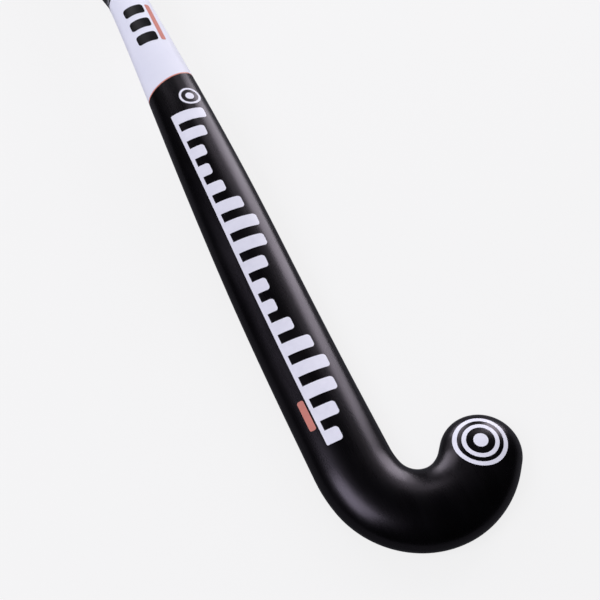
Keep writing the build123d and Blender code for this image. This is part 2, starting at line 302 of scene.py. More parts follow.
def extend_ring(mesh: Mesh, edges: list, s: float, skin: Callable = FORM.skin_point) -> list:
    """Extrude a section ring's edges to another place along the shaft, and return the new ring's edges."""
    around = mesh.verts.layers.float[AROUND]
    ring, vertices = extrude(mesh, edges)
    for vertex in vertices:
        vertex.co = skin(s, vertex[around])
    return ring


def stations(start: float, end: float, step: float) -> list[float]:
    """Evenly spaced places along the shaft after start, up to and with end."""
    count = max(1, ceil((end - start) / step - 1e-6))
    return [start + (end - start) * (i + 1) / count for i in range(count)]


def thicken(mesh: Mesh, wall: float) -> None:
    """Give an outer skin, whose faces point outwards, a wall on its inner side."""
    bmesh.ops.solidify(mesh, geom=list(mesh.faces), thickness=wall)


def close_up(mesh: Mesh) -> None:
    """Merge doubled vertices and point the faces outwards."""
    bmesh.ops.remove_doubles(mesh, verts=list(mesh.verts), dist=MERGE)
    bmesh.ops.recalc_face_normals(mesh, faces=list(mesh.faces))


def put(name: str, data: object) -> Piece:
    """Put data into the scene as a new object."""
    thing = bpy.data.objects.new(name, data)
    bpy.context.collection.objects.link(thing)
    return thing


def show(mesh: Mesh, name: str, material: Material) -> Piece:
    """Put a bmesh, which is freed, into the scene with its finish."""
    data = bpy.data.meshes.new(name)
    mesh.to_mesh(data)
    mesh.free()
    data.materials.append(material)
    return put(name, data)


def make_piece(mesh: Mesh, name: str, material: Material, slot: Slot) -> Piece:
    """Turn a bmesh into a shown piece that rides on the stick.

    Args:
        mesh: the piece's bmesh, which is freed.
        name: the piece's name.
        material: its finish.
        slot: the record's material slot; not used.

    Returns:
        The new object.
    """
    for face in mesh.faces:
        face.smooth = True
    for edge in mesh.edges:
        edge.smooth = len(edge.link_faces) == 2 and edge.calc_face_angle(0.0) < SHARP_ANGLE
    triangles = sum(len(face.verts) - 2 for face in mesh.faces)
    piece = show(mesh, name, material)
    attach(piece, "root")
    log.info("%s: %d triangles", name, triangles)
    return piece


# ---------------- finishes


class Shading:
    """Node tree of a material or world, with short ways to add the nodes that the finishes share."""

    def __init__(self, owner: Material | bpy.types.World) -> None:
        """Empty the owner's tree."""
        self.owner = owner
        owner.use_nodes = True
        self.tree = owner.node_tree
        self.tree.nodes.clear()

    def feed(self, socket: object, value: object) -> None:
        """Link a socket to another one, or set its value. Colours are opaque."""
        if isinstance(value, bpy.types.NodeSocket):
            self.tree.links.new(value, socket)
        else:
            socket.default_value = (*value, 1.0) if socket.type == "RGBA" else value

    def add(self, kind: str, sockets: dict | None = None, **settings: object) -> bpy.types.Node:
        """Add a node, set its properties and feed its sockets."""
        node = self.tree.nodes.new(kind)
        for key, value in settings.items():
            setattr(node, key, value)
        for key, value in (sockets or {}).items():
            self.feed(node.inputs[key], value)
        return node

    @cached_property
    def coordinates(self) -> object:
        """Object coordinates, from one node that the whole tree shares."""
        return self.add("ShaderNodeTexCoord").outputs["Object"]

    def stretched(self, scale: Colour, turn: float = 0.0, vector: object = None) -> object:
        """Object coordinates, or another vector, scaled on each axis and turned about Z."""
        vector = self.coordinates if vector is None else vector
        sockets = {"Vector": vector, "Scale": scale, "Rotation": (0.0, 0.0, radians(turn))}
        return self.add("ShaderNodeMapping", sockets).outputs["Vector"]

    def noise(self, vector: object, scale: float, detail: float = 3.0, roughness: float = 0.5) -> object:
        """Noise value between 0 and 1."""
        sockets = {"Vector": vector, "Scale": scale, "Detail": detail, "Roughness": roughness}
        return self.add("ShaderNodeTexNoise", sockets).outputs["Fac"]

    def grain(self, size: float, detail: float, roughness: float) -> object:
        """Noise whose spots are about the size, on every axis."""
        return self.noise(self.coordinates, 1.0 / size, detail, roughness)

    def cells(self, vector: object, scale: float, feature: str = "F1", randomness: float = 1.0) -> object:
        """Distance of a Voronoi pattern."""
        sockets = {"Vector": vector, "Scale": scale, "Randomness": randomness}
        return self.add("ShaderNodeTexVoronoi", sockets, feature=feature).outputs["Distance"]

    def math(self, operation: str, *values: object) -> object:
        """Result of up to three values."""
        return self.add("ShaderNodeMath", dict(enumerate(values)), operation=operation).outputs[0]

    def span(self, value: object, low: float, high: float, to_low: float, to_high: float) -> object:
        """Map a value from one range to another and clamp it."""
        names = ("Value", "From Min", "From Max", "To Min", "To Max")
        sockets = dict(zip(names, (value, low, high, to_low, to_high)))
        return self.add("ShaderNodeMapRange", sockets).outputs["Result"]

    def vary(self, value: object, middle: float, spread: float) -> object:
        """Swing a noise round a middle value."""
        return self.span(value, 0.3, 0.7, middle - spread, middle + spread)

    def blend(self, factor: object, first: object, second: object) -> object:
        """Mix two colours."""
        return self.add("ShaderNodeMix", {"Factor": factor, 6: first, 7: second}, data_type="RGBA").outputs[2]

    def attribute(self, name: str) -> object:
        """A mesh attribute's number."""
        return self.add("ShaderNodeAttribute", attribute_name=name).outputs["Fac"]

    def bump(self, height: object, depth: float, strength: float = 1.0, **under: object) -> object:
        """Bumped normal, from a height between 0 and 1, its depth in metres and the Normal under it."""
        sockets = {"Strength": strength, "Distance": depth, "Height": height, **under}
        return self.add("ShaderNodeBump", sockets).outputs["Normal"]

    def shader(self, kind: str, **sockets: object) -> object:
        """A shader, with its sockets by name and underscores for spaces."""
        return self.add(kind, {key.replace("_", " "): value for key, value in sockets.items()}).outputs[0]

    def close(self, kind: str, factor: object, first: object, second: object) -> None:
        """Close the tree with a mix of two shaders."""
        mix = self.add("ShaderNodeMixShader", {0: factor, 1: first, 2: second})
        self.add(kind, {"Surface": mix.outputs[0]})

    def surface(self, colour: object, roughness: object, normal: object, **constants: object) -> Material:
        """Close the tree with a Principled shader.

        Args:
            colour: base colour or its socket.
            roughness: roughness or its socket.
            normal: socket of the bumped normal.
            **constants: other sockets by name, with underscores for spaces.

        Returns:
            The finished material.
        """
        sockets = {"Base_Color": colour, "Roughness": roughness, "Normal": normal, **constants}
        self.add("ShaderNodeOutputMaterial", {"Surface": self.shader("ShaderNodeBsdfPrincipled", **sockets)})
        return self.owner


def paint(name: str) -> Shading:
    """Empty tree of a new material."""
    return Shading(bpy.data.materials.new(name))


@dataclass(frozen=True)
class Lacquer:
    """Sprayed satin lacquer: faint mottling, orange peel, draw lines from polishing and rubbed patches."""

    name: str
    deep: Colour
    light: Colour
    roughness: float
    spread: float = 0.07
    peel_size: float = 1.6 * MM
    peel_depth: float = 0.006 * MM
    line_depth: float = 0.0004 * MM
    specular: float = 0.5
    glint: Colour = (1.0, 1.0, 1.0)

    def build(self) -> Material:
        """Make the material."""
        shade = paint(self.name)
        mottle = shade.noise(shade.coordinates, 55.0, 4.0, 0.55)
        rubbed = shade.noise(shade.stretched((90.0, 12.0, 90.0)), 1.0, 4.0, 0.6)
        lines = shade.noise(shade.stretched((2600.0, 45.0, 2600.0)), 1.0, 2.0, 0.5)
        peel = shade.grain(self.peel_size, 2.0, 0.45)
        colour = shade.blend(shade.span(mottle, 0.3, 0.7, 0.0, 1.0), self.deep, self.light)
        wear = shade.math("ADD", shade.math("MULTIPLY", rubbed, 0.85), shade.math("MULTIPLY", lines, 0.15))
        roughness = shade.span(wear, 0.35, 0.65, self.roughness - self.spread, self.roughness + self.spread)
        normal = shade.bump(peel, self.peel_depth, Normal=shade.bump(lines, self.line_depth, 0.6))
        tints = {"Specular_IOR_Level": self.specular, "Specular_Tint": self.glint}
        return shade.surface(colour, roughness, normal, **tints)


@dataclass(frozen=True)
class Print:
    """Screen-printed ink under clear lacquer: ink thickness varies a little and thins in pin specks."""

    name: str
    ink: Colour
    thin: Colour
    roughness: float = 0.42
    specular: float = 0.5
    speck_size: float = 0.35 * MM
    peel_size: float = 1.6 * MM
    peel_depth: float = 0.006 * MM

    def build(self) -> Material:
        """Make the material."""
        shade = paint(self.name)
        cover = shade.noise(shade.coordinates, 160.0, 3.0, 0.6)
        specks = shade.cells(shade.coordinates, 1.0 / self.speck_size)
        thinning = shade.span(specks, 0.05, 0.2, 0.35, 0.0)
        patch = shade.span(cover, 0.35, 0.75, 0.0, 0.35)
        colour = shade.blend(shade.math("MAXIMUM", thinning, patch), self.ink, self.thin)
        peel = shade.grain(self.peel_size, 2.0, 0.45)
        roughness = shade.vary(cover, self.roughness, 0.05)
        normal = shade.bump(peel, self.peel_depth)
        return shade.surface(colour, roughness, normal, Specular_IOR_Level=self.specular)


@dataclass(frozen=True)
class Cloth:
    """Resin-soaked woven reinforcement, in a twill of flat tows, each painted darker towards its edges as
    shade where it dips under its neighbours.
    """

    name: str
    tow: Colour
    # darker copy of the tow colour, painted towards each tow's edges as shade
    tow_edge_shade: Colour
    weave: Weave
    tow_width: float = 2.0 * MM
    roughness: float = 0.35
    depth: float = 0.05 * MM

    def build(self) -> Material:
        """Make the material."""
        shade = paint(self.name)
        per_metre = 1.0 / self.tow_width
        turned = shade.stretched((per_metre, per_metre, per_metre), self.weave.value)
        x, y, _ = shade.add("ShaderNodeSeparateXYZ", {"Vector": turned}).outputs
        warp = shade.math("PINGPONG", x, 0.5)
        weft = shade.math("PINGPONG", y, 0.5)
        steps = shade.math("ADD", shade.math("FLOOR", x), shade.math("FLOOR", y))
        over = shade.math("LESS_THAN", shade.math("FLOORED_MODULO", steps, 4.0), 2.0)
        flip = shade.math("SUBTRACT", 1.0, over)
        crown = shade.math("ADD", shade.math("MULTIPLY", warp, over), shade.math("MULTIPLY", weft, flip))
        fibres = shade.noise(shade.stretched((3000.0, 260.0, 3000.0), self.weave.value), 1.0, 2.0, 0.6)
        height = shade.math("MULTIPLY_ADD", fibres, 0.12, shade.math("MULTIPLY", crown, 2.0))
        # Painted shade: colour darkens from each tow's crown towards its edges.
        colour = shade.blend(shade.span(height, 0.1, 0.7, 0.0, 1.0), self.tow_edge_shade, self.tow)
        return shade.surface(colour, shade.vary(fibres, self.roughness, 0.08), shade.bump(height, self.depth))


@dataclass(frozen=True)
class Foam:
    """Closed-cell foam, cut or moulded, with its pores open at the skin and painted darker inside as shade.
    """

    name: str
    body: Colour
    # darker copy of the foam's colour, painted into the open pores as shade
    pore_shade: Colour
    pore_size: float
    depth: float
    roughness: float = 0.85

    def build(self) -> Material:
        """Make the material."""
        shade = paint(self.name)
        pores = shade.cells(shade.coordinates, 1.0 / self.pore_size, "SMOOTH_F1")
        tone = shade.noise(shade.coordinates, 120.0, 3.0, 0.5)
        # Painted shade in the open pores, over a random tone of the foam.
        open_pore = shade.span(pores, 0.15, 0.6, 1.0, 0.0)
        tone_and_pore_shade = shade.math("MULTIPLY_ADD", tone, 0.25, shade.math("MULTIPLY", open_pore, 0.7))
        colour = shade.blend(tone_and_pore_shade, self.body, self.pore_shade)
        return shade.surface(colour, shade.vary(tone, self.roughness, 0.06), shade.bump(pores, self.depth))


@dataclass(frozen=True)
class Moulding:
    """Moulded rubber or plastic: fine spark-eroded grain, scuffs and a dull bloom."""

    name: str
    body: Colour
    scuffed: Colour
    grain_size: float
    grain_depth: float
    roughness: float = 0.6

    def build(self) -> Material:
        """Make the material."""
        shade = paint(self.name)
        grain = shade.grain(self.grain_size, 4.0, 0.65)
        bloom = shade.noise(shade.coordinates, 90.0, 4.0, 0.6)
        scuff = shade.noise(shade.stretched((900.0, 140.0, 500.0), 30.0), 1.0, 3.0, 0.7)
        marks = shade.span(scuff, 0.62, 0.75, 0.0, 0.6)
        dulled = shade.math("MAXIMUM", marks, shade.span(bloom, 0.4, 0.8, 0.0, 0.5))
        colour = shade.blend(dulled, self.body, self.scuffed)
        roughness = shade.vary(bloom, self.roughness, 0.08)
        return shade.surface(colour, roughness, shade.bump(grain, self.grain_depth, 0.8))


@dataclass(frozen=True)
class CushionTape:
    """Soft polyurethane grip tape: leather-like grain, rows of small vents, worn and polished patches, and
    crowns lighter from wear and a painted highlight; the vents and the creases under each lap get painted
    shade.
    """

    name: str
    body: Colour
    # rubbed: lighter colour of rubbed patches, also used as the painted highlight on the raised lap edges
    rubbed: Colour
    pitch: float
    ridge: float = 2.2 * MM
    vent_pitch: float = 3.2 * MM
    vent_turn: float = 45.0
    vent_depth: float = 0.22 * MM
    grain_size: float = 0.55 * MM
    grain_depth: float = 0.035 * MM
    roughness: float = 0.62

    def build(self) -> Material:
        """Make the material."""
        shade = paint(self.name)
        across = shade.attribute(ACROSS)
        flat = shade.add("ShaderNodeCombineXYZ", {"X": shade.attribute(ALONG), "Y": across}).outputs["Vector"]
        per_metre = 1.0 / self.vent_pitch
        rows = shade.stretched((per_metre, per_metre, 1.0), self.vent_turn, flat)
        vents = shade.cells(rows, 1.0, "F1", 0.0)
        vent = shade.span(vents, 0.12, 0.24, 0.0, 1.0)
        grain = shade.cells(shade.coordinates, 1.0 / self.grain_size, "DISTANCE_TO_EDGE")
        grain = shade.span(grain, 0.0, 0.25, 0.0, 1.0)
        tone = shade.noise(shade.coordinates, 70.0, 4.0, 0.55)
        # Partly wear, partly painted highlight: the raised edge of each lap is lightened towards the rubbed
        # colour.
        ridge = shade.span(across, 0.0, self.ridge, 0.8, 0.0)
        wear_and_ridge_highlight = shade.math("MAXIMUM", ridge, shade.span(tone, 0.35, 0.75, 0.0, 1.0))
        colour = shade.blend(wear_and_ridge_highlight, self.body, self.rubbed)
        # Painted shade: the tape darkens to a fifth of its colour towards the crease where the next turn laps
        # over it.
        crease_shade = shade.span(across, self.pitch - self.ridge, self.pitch, 0.0, 0.8)
        colour = shade.blend(crease_shade, colour, tuple(c * 0.2 for c in self.body))
        # Painted shade: the vent holes are darkened to three tenths of the tape's colour.
        colour = shade.blend(vent, tuple(c * 0.3 for c in self.body), colour)
        roughness = shade.vary(tone, self.roughness, -0.08)
        normal = shade.bump(vent, self.vent_depth, Normal=shade.bump(grain, self.grain_depth))
        return shade.surface(colour, roughness, normal)


@dataclass(frozen=True)
class PrintedTape:
    """Thin stretched vinyl finishing tape with plain pale hairlines printed along both edges."""

    name: str
    vinyl: Colour
    ink: Colour
    width: float
    lines: tuple = ((2.7 * MM, 0.7 * MM), (5.0 * MM, 0.4 * MM))
    wrinkle_depth: float = 0.05 * MM
    roughness: float = 0.4

    def build(self) -> Material:
        """Make the material."""
        shade = paint(self.name)
        across = shade.attribute(ACROSS)
        tone = shade.noise(shade.coordinates, 300.0, 3.0, 0.5)
        inwards = shade.math("PINGPONG", across, self.width / 2)
        ink = 0.0
        for place, width in self.lines:
            ink = shade.math("MAXIMUM", ink, shade.math("COMPARE", inwards, place, width / 2))
        ink = shade.math("MULTIPLY", ink, shade.span(tone, 0.2, 0.5, 0.75, 1.0))
        colour = shade.blend(ink, self.vinyl, self.ink)
        roughness = shade.vary(tone, self.roughness, 0.06)
        wrinkle = shade.noise(shade.stretched((160.0, 500.0, 160.0)), 1.0, 3.0, 0.5)
        return shade.surface(colour, roughness, shade.bump(wrinkle, self.wrinkle_depth))


# ---------------- sub-assemblies


@dataclass
class Coats:
    """Black lacquer on the hook and lower shaft, the pinstripe, and the white lacquer up to the grip."""

    wall: float = 0.35 * MM
    pinstripe: float = 0.9 * MM
    tuck: float = 14.0 * MM
    arc_step: float = 2.8
    toe_step: float = 4.0
    shaft_step: float = 10.0 * MM
    black: Lacquer = Lacquer(
        "black_lacquer", (0.0003, 0.0003, 0.0005), (0.0010, 0.0009, 0.0014), 0.28, 0.04, specular=0.4,
        glint=(1.0, 0.90, 1.0),
    )
    salmon: Lacquer = Lacquer("salmon_lacquer", (0.62, 0.22, 0.16), (0.68, 0.26, 0.19), 0.36)
    white: Lacquer = Lacquer("white_lacquer", (0.76, 0.77, 0.85), (0.79, 0.80, 0.87), 0.46, specular=0.2)
    skins: dict = field(default_factory=dict)

    def hook(self, mesh: Mesh, ring: list) -> None:
        """Spin the head's ring of edges through the hook's arcs, and half of it round the toe."""
        here = ORIGIN
        across = Vector((1.0, 0.0, 0.0))
        for radius, angle in FORM.hook_arcs:
            turn = Matrix.Rotation(radians(angle), 3, "Z")
            centre = here + across * radius
            ring = spin(mesh, ring, centre, radians(angle), ceil(angle / self.arc_step))
            here = centre + turn @ (here - centre)
            across = turn @ across
        run = across.cross(UP) * FORM.toe_run
        ring, vertices = extrude(mesh, ring)
        bmesh.ops.translate(mesh, verts=vertices, vec=run)
        here = here + run
        inner = [edge for edge in ring if sum((vertex.co - here).dot(across) for vertex in edge.verts) > 0.0]
        spin(mesh, inner, here, -pi, ceil(180.0 / self.toe_step))

    def skin(self, name: str, start: float, end: float, finish: Lacquer, slot: Slot) -> None:
        """Build one coat as a thin shell and keep its outer skin for the marks that lie on it.

        Args:
            name: piece name, which is also the CAD node's.
            start: where the coat starts along the shaft. The hook hangs on a start at 0.
            end: where it ends.
            finish: its lacquer.
            slot: its material slot.
        """
        mesh = bmesh.new()
        first = start_ring(mesh, start)
        ring = first
        for s in stations(start, end, self.shaft_step):
            ring = extend_ring(mesh, ring, s)
        if start == 0.0:
            self.hook(mesh, first)
        close_up(mesh)
        self.skins[name] = BVHTree.FromBMesh(mesh)
        thicken(mesh, self.wall)
        piece = make_piece(mesh, f"{name}_skin", finish.build(), slot)
        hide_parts(name)

    def build(self) -> None:
        """Build the three coats."""
        stripe_end = FORM.coat_split + self.pinstripe
        self.skin("lower_coat", 0.0, FORM.coat_split, self.black, Slot.BLACK_COAT)
        self.skin("pinstripe", FORM.coat_split, stripe_end, self.salmon, Slot.ACCENT)
        self.skin("upper_coat", stripe_end, FORM.grip_start + self.tuck, self.white, Slot.WHITE_COAT)


@dataclass(frozen=True)
class BackPlane:
    """Plane under the stick in which a coat's marks are drawn: x to the toe's side, y up the shaft."""

    start: float
    end: float
    coat: str

    def frame(self) -> Matrix:
        """Matrix from the plane's own coordinates to the stick's."""
        y0, z0, _ = FORM.underside(self.start)
        y1, z1, _ = FORM.underside(self.end)
        lean = atan2(z1 - z0, y1 - y0)
        return Matrix.Translation((0.0, y0, z0)) @ Matrix.Rotation(lean, 4, "X")


@dataclass(frozen=True)
class RoundMark:
    """Flat ring in a back plane, or a dot where it has no width."""

    name: str
    centre: tuple
    radius: float
    segments: int
    width: float = 0.0

    def draw(self) -> Mesh:
        """Draw the mark."""
        mesh = bmesh.new()
        place = Matrix.Translation((*self.centre, 0.0))
        for size in dict.fromkeys((self.radius, self.radius - self.width / 2, self.radius - self.width)):
            bmesh.ops.create_circle(
                mesh, cap_ends=self.width == 0.0, radius=size, segments=self.segments, matrix=place
            )
        loops = list(mesh.edges)
        if self.width:
            bmesh.ops.bridge_loops(mesh, edges=loops[: 2 * self.segments])
            bmesh.ops.bridge_loops(mesh, edges=loops[self.segments :])
        return mesh


@dataclass
class Marks:
    """Printed marks on the stick's back: thin films pressed onto the lacquer."""

    coats: Coats
    film: float = 0.12 * MM
    lift: float = 0.012 * MM
    headroom: float = 60.0 * MM
    cell: float = 1.3 * MM
    long_cell: float = 3.9 * MM
    corner_steps: int = 5
    rounding: float = 2.0 * MM
    bar_count: int = 17
    bar_pitch: float = 14.6 * MM
    bar_width: float = 8.4 * MM
    bars_start: float = 12.0 * MM
    bars_side: float = -9.5 * MM
    bar_short: float = 9.0 * MM
    bar_long: float = 22.5 * MM
    bar_waves: float = 2.5
    spine_width: float = 2.2 * MM
    accent_centre: tuple = (-13.4 * MM, 33.0 * MM)
    accent_size: tuple = (3.6 * MM, 19.0 * MM)
    toe_centre: tuple = (66.0 * MM, -20.2 * MM)
    on_toe: tuple = (
        RoundMark("toe_outer_ring", toe_centre, 14.8 * MM, 72, 2.3 * MM),
        RoundMark("toe_inner_ring", toe_centre, 10.1 * MM, 72, 2.3 * MM),
        RoundMark("toe_dot", toe_centre, 4.0 * MM, 48),
    )
    shaft_centre: tuple = (6.5 * MM, 264.8 * MM)
    on_shaft: tuple = (
        RoundMark("shaft_ring", shaft_centre, 7.0 * MM, 56, 1.5 * MM),
        RoundMark("shaft_dot", shaft_centre, 2.8 * MM, 40),
    )
    upper_count: int = 3
    upper_start: float = 39.0 * MM
    upper_pitch: float = 14.0 * MM
    upper_size: tuple = (14.0 * MM, 8.6 * MM)
    upper_x: float = -2.0 * MM
    upper_accent_gap: float = 1.8 * MM
    upper_accent_width: float = 3.0 * MM
    white: Print = Print("white_print", (0.80, 0.80, 0.87), (0.60, 0.60, 0.68))
    salmon: Print = Print("salmon_print", (0.60, 0.20, 0.15), (0.42, 0.14, 0.11))
    black: Print = Print("black_print", (0.0012, 0.0012, 0.0016), (0.003, 0.003, 0.004), 0.34, 0.16)

    def bar(
        self, mesh: Mesh, x: float, y: float, size: tuple, rounding: float = 0.0, left: bool = True
    ) -> Mesh:
        """Draw one flat bar.

        Args:
            mesh: bmesh that gets the bar.
            x: its middle.
            y: its middle along the shaft.
            size: width and length.
            rounding: corner radius, or 0 for a third of the width.
            left: whether the corners away from the toe's side are rounded too.

        Returns:
            The same bmesh.
        """
        made = bmesh.ops.create_grid(mesh, x_segments=1, y_segments=1, size=0.5)["verts"]
        bmesh.ops.scale(mesh, vec=(*size, 1.0), verts=made)
        bmesh.ops.translate(mesh, vec=(x, y, 0.0), verts=made)
        bmesh.ops.bevel(
            mesh, geom=[v for v in made if left or v.co.x > x], offset=rounding or size[0] / 3,
            segments=self.corner_steps, profile=0.5, affect="VERTICES", material=-1,
        )
        return mesh

    def slice_up(self, mesh: Mesh) -> None:
        """Cut flat shapes into small cells, so that they can follow the round back."""
        for axis, step in ((Vector((1.0, 0.0, 0.0)), self.cell), (Vector((0.0, 1.0, 0.0)), self.long_cell)):
            places = [vertex.co.dot(axis) for vertex in mesh.verts]
            for place in stations(min(places), max(places), step)[:-1]:
                whole = list(mesh.verts) + list(mesh.edges) + list(mesh.faces)
                bmesh.ops.bisect_plane(mesh, geom=whole, plane_co=axis * place, plane_no=axis)

    def press(self, mesh: Mesh, plane: BackPlane) -> None:
        """Lay flat shapes onto the coat's skin over their plane and give them the film's thickness."""
        place = plane.frame()
        up = place.to_3x3() @ UP
        for vertex in mesh.verts:
            start = place @ vertex.co + up * self.headroom
            hit, normal, _, _ = self.coats.skins[plane.coat].ray_cast(start, -up)
            vertex.co = hit + normal * self.lift
        close_up(mesh)
        if sum(face.normal.z for face in mesh.faces) > 0.0:
            bmesh.ops.reverse_faces(mesh, faces=list(mesh.faces))
        thicken(mesh, self.film)

    def mark(self, name: str, mesh: Mesh, plane: BackPlane, finish: tuple[Material, Slot]) -> None:
        """Cut, press and finish one mark that stands for a CAD film."""
        self.slice_up(mesh)
        self.press(mesh, plane)
        piece = make_piece(mesh, f"{name}_film", *finish)
        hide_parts(name)

    def bars(self) -> Mesh:
        """Row of bars that swell and shrink along the shaft, standing on one spine."""
        row = self.bar_pitch * (self.bar_count - 1) + self.bar_width
        mesh = self.bar(bmesh.new(), self.bars_side, self.bars_start + row / 2, (self.spine_width, row))
        for index in range(self.bar_count):
            swell = 0.5 - 0.5 * cos(FULL_TURN * self.bar_waves * (index + 0.5) / self.bar_count)
            length = self.bar_short + (self.bar_long - self.bar_short) * swell - self.spine_width
            x = self.bars_side + self.spine_width / 2 + length / 2
            y = self.bars_start + self.bar_width / 2 + self.bar_pitch * index
            self.bar(mesh, x, y, (length, self.bar_width), self.rounding, left=False)
        return mesh

    def build(self) -> None:
        """Build every mark."""
        white = (self.white.build(), Slot.WHITE_MARK)
        salmon = (self.salmon.build(), Slot.ACCENT_MARK)
        black = (self.black.build(), Slot.BLACK_MARK)
        toe = BackPlane(0.0, FORM.head_flat, "lower_coat")
        lower = BackPlane(0.0, FORM.coat_split, "lower_coat")
        upper = BackPlane(FORM.coat_split, FORM.grip_start, "upper_coat")

        for item in self.on_toe:
            self.mark(item.name, item.draw(), toe, white)
        self.mark("back_bars", self.bars(), lower, white)
        accent = self.bar(bmesh.new(), *self.accent_centre, self.accent_size)
        self.mark("accent_bar", accent, lower, salmon)
        for item in self.on_shaft:
            self.mark(item.name, item.draw(), lower, white)

        width, length = self.upper_size
        for index in range(self.upper_count):
            y = self.upper_start + self.upper_pitch * index
            bar = self.bar(bmesh.new(), self.upper_x, y, self.upper_size, self.rounding)
            self.mark(f"upper_bar_{index + 1}", bar, upper, black)
        row = self.upper_pitch * (self.upper_count - 1)
        x = self.upper_x + width / 2 + self.upper_accent_gap + self.upper_accent_width / 2
        size = (self.upper_accent_width, row + length)
        accent = self.bar(bmesh.new(), x, self.upper_start + row / 2, size)
        self.mark("upper_accent", accent, upper, salmon)


@dataclass
class Grip:
    """Cushion tape wound up the handle and the thin finishing tape round its lower end."""

    tape_width: float = 26.0 * MM
    tape_pitch: float = 22.0 * MM
    tape_thickness: float = 1.3 * MM
    overlap_rise: float = 0.6 * MM
    underside_slope: float = 0.1 * MM
    squeeze: float = 0.3
    edge_rounding: float = 0.45 * MM
    crown_power: int = 12
    profile_steps: int = 20
    turn_steps: int = 48
    core_radius: float = 13.3 * MM
    finishing_hold: float = 6.0 * MM
    finishing_lap: float = 6.0 * MM
    finishing_wall: float = 0.25 * MM
    lap_film: float = 0.12 * MM
    lap_step: float = 1.5 * MM
    ramp_step: float = 1.0 * MM
    tape: CushionTape = CushionTape(
        "grip_cushion_tape", (0.011, 0.011, 0.012), (0.026, 0.026, 0.028), tape_pitch
    )
    finishing: PrintedTape = PrintedTape(
        "finishing_vinyl", (0.006, 0.006, 0.007), (0.62, 0.62, 0.68),
        finishing_lap + FORM.grip_ramp + finishing_hold,
    )

    @staticmethod
    def bend(mesh: Mesh) -> None:
        """Move a grip drawn straight, with z up the shaft, onto the bowed handle."""
        for vertex in mesh.verts:
            x, y, s = vertex.co
            vertex.co = FORM.place(s, x, FORM.handle_radius - y)

    def wound(self) -> Mesh:
        """Wind the tape: its cross-section is spun up the handle, each turn lapping over the last."""
        mesh = bmesh.new()
        along = mesh.verts.layers.float.new(ALONG)
        across = mesh.verts.layers.float.new(ACROSS)
        start = FORM.ramp_start - 2.0 * self.tape_pitch
        turns = (FORM.handle_end - start) / self.tape_pitch + 1.0
        made = bmesh.ops.create_grid(mesh, x_segments=1, y_segments=self.profile_steps, size=0.5)["verts"]
        for vertex in made:
            share = vertex.co.y + 0.5
            edge = (2.0 * share - 1.0) ** self.crown_power
            radius = FORM.grip_radius - self.overlap_rise * share - self.edge_rounding * edge
            if vertex.co.x < 0.0:
                radius = FORM.grip_radius - self.tape_thickness - self.underside_slope * share
            vertex[across] = share * self.tape_width
            vertex.co = Vector((radius, 0.0, start + share * self.tape_width))
        profile = [g for g in list(mesh.edges) if len(g.link_faces) == 1]
        bmesh.ops.delete(mesh, geom=list(mesh.faces), context="FACES_ONLY")
        steps = ceil(turns * self.turn_steps)
        angle = FULL_TURN * steps / self.turn_steps
        spin(mesh, profile, ORIGIN, angle, steps, self.tape_pitch / self.turn_steps)
        for vertex in mesh.verts:
            wound = (vertex.co.z - start - vertex[across]) / self.tape_pitch
            vertex[along] = wound * FULL_TURN * FORM.grip_radius
            radius = hypot(vertex.co.x, vertex.co.y)
            lowered = radius - FORM.grip_radius + FORM.grip_radius_at(vertex.co.z)
            wall = max(0.0, radius - FORM.grip_radius + self.tape_thickness)
            vertex.co.xy *= max(lowered, self.core_radius + self.squeeze * wall) / radius
        return mesh

    def tape_point(self, s: float, around: float) -> Vector:
        """Point on the finishing tape: snug on the coat at its lap, then up the ramp onto the full grip."""
        x, height = FORM.outline(s, around)
        rise = height - FORM.handle_radius
        reach = hypot(x, rise)
        radius = reach + self.lap_film
        if s > FORM.ramp_start:
            radius = FORM.grip_radius_at(s) + self.finishing_wall
        return FORM.place(s, x * radius / reach, FORM.handle_radius + rise * radius / reach)

    def build(self) -> None:
        """Build the two tapes."""
        mesh = self.wound()
        for place, side in ((FORM.ramp_start, -1.0), (FORM.handle_end, 1.0)):
            whole = list(mesh.verts) + list(mesh.edges) + list(mesh.faces)
            cut = bmesh.ops.bisect_plane(
                mesh, geom=whole, plane_co=(0.0, 0.0, place), plane_no=(0.0, 0.0, side), clear_outer=True
            )
            bmesh.ops.holes_fill(mesh, edges=edges_of(cut["geom_cut"]), sides=0)
        self.bend(mesh)
        close_up(mesh)
        piece = make_piece(mesh, "wound_grip_tape", self.tape.build(), Slot.GRIP_TAPE)
        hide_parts("grip_tape")

        mesh = bmesh.new()
        across = mesh.verts.layers.float.new(ACROSS)
        foot, end = FORM.ramp_start, FORM.grip_start + self.finishing_hold
        start = foot - self.finishing_lap
        ring = start_ring(mesh, start, self.tape_point)
        for s in stations(start, foot, self.lap_step) + stations(foot, end, self.ramp_step):
            ring = extend_ring(mesh, ring, s, self.tape_point)
            for vertex in {vertex for edge in ring for vertex in edge.verts}:
                vertex[across] = s - start
        close_up(mesh)
        thicken(mesh, self.finishing_wall)
        piece = make_piece(mesh, "wrapped_finishing_tape", self.finishing.build(), Slot.FINISHING_TAPE)
        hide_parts("finishing_tape")


